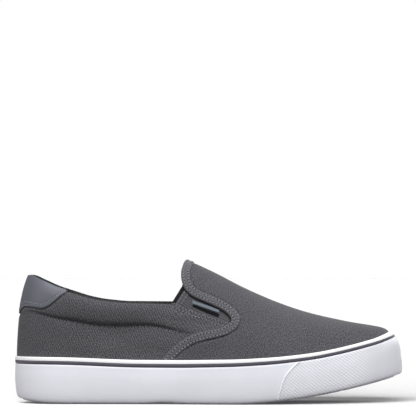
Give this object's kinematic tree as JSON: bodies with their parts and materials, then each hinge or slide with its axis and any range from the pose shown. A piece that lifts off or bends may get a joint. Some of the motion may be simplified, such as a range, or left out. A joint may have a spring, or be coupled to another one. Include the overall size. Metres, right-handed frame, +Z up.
{
  "type": "slip-on sneaker",
  "caption": "Low canvas slip-on sneaker for the right foot, with elastic gores, a taped vamp, a padded collar and a moulded rubber cup sole.",
  "frame": {"origin": "on the floor, at the middle of the shoe's length and width", "axes": "+X towards the toe, +Y towards the inner side of the foot, +Z up"},
  "size_m": [0.2982, 0.1074, 0.1105],
  "materials": {
    "tread_rubber": "matt moulded",
    "wall_rubber": "satin moulded",
    "stripe_rubber": "satin",
    "footbed_cloth": "brushed cloth on foam",
    "canvas": "charcoal twill",
    "elastic": "ribbed elastic webbing",
    "tape": "woven tape",
    "patch_leather": "smooth, semi-matt",
    "tag_tape": "folded satin tape"
  },
  "bodies": {
    "root": {"outsole": "tread_rubber", "midsole": "wall_rubber", "foxing_stripe": "stripe_rubber", "foxing_band": "wall_rubber", "toe_bumper": "wall_rubber", "insole": "footbed_cloth", "upper": "canvas", "gore_outer": "elastic", "gore_inner": "elastic", "vamp_tape": "tape", "heel_patch": "patch_leather", "side_tag": "tag_tape"}
  },
  "joints": []
}
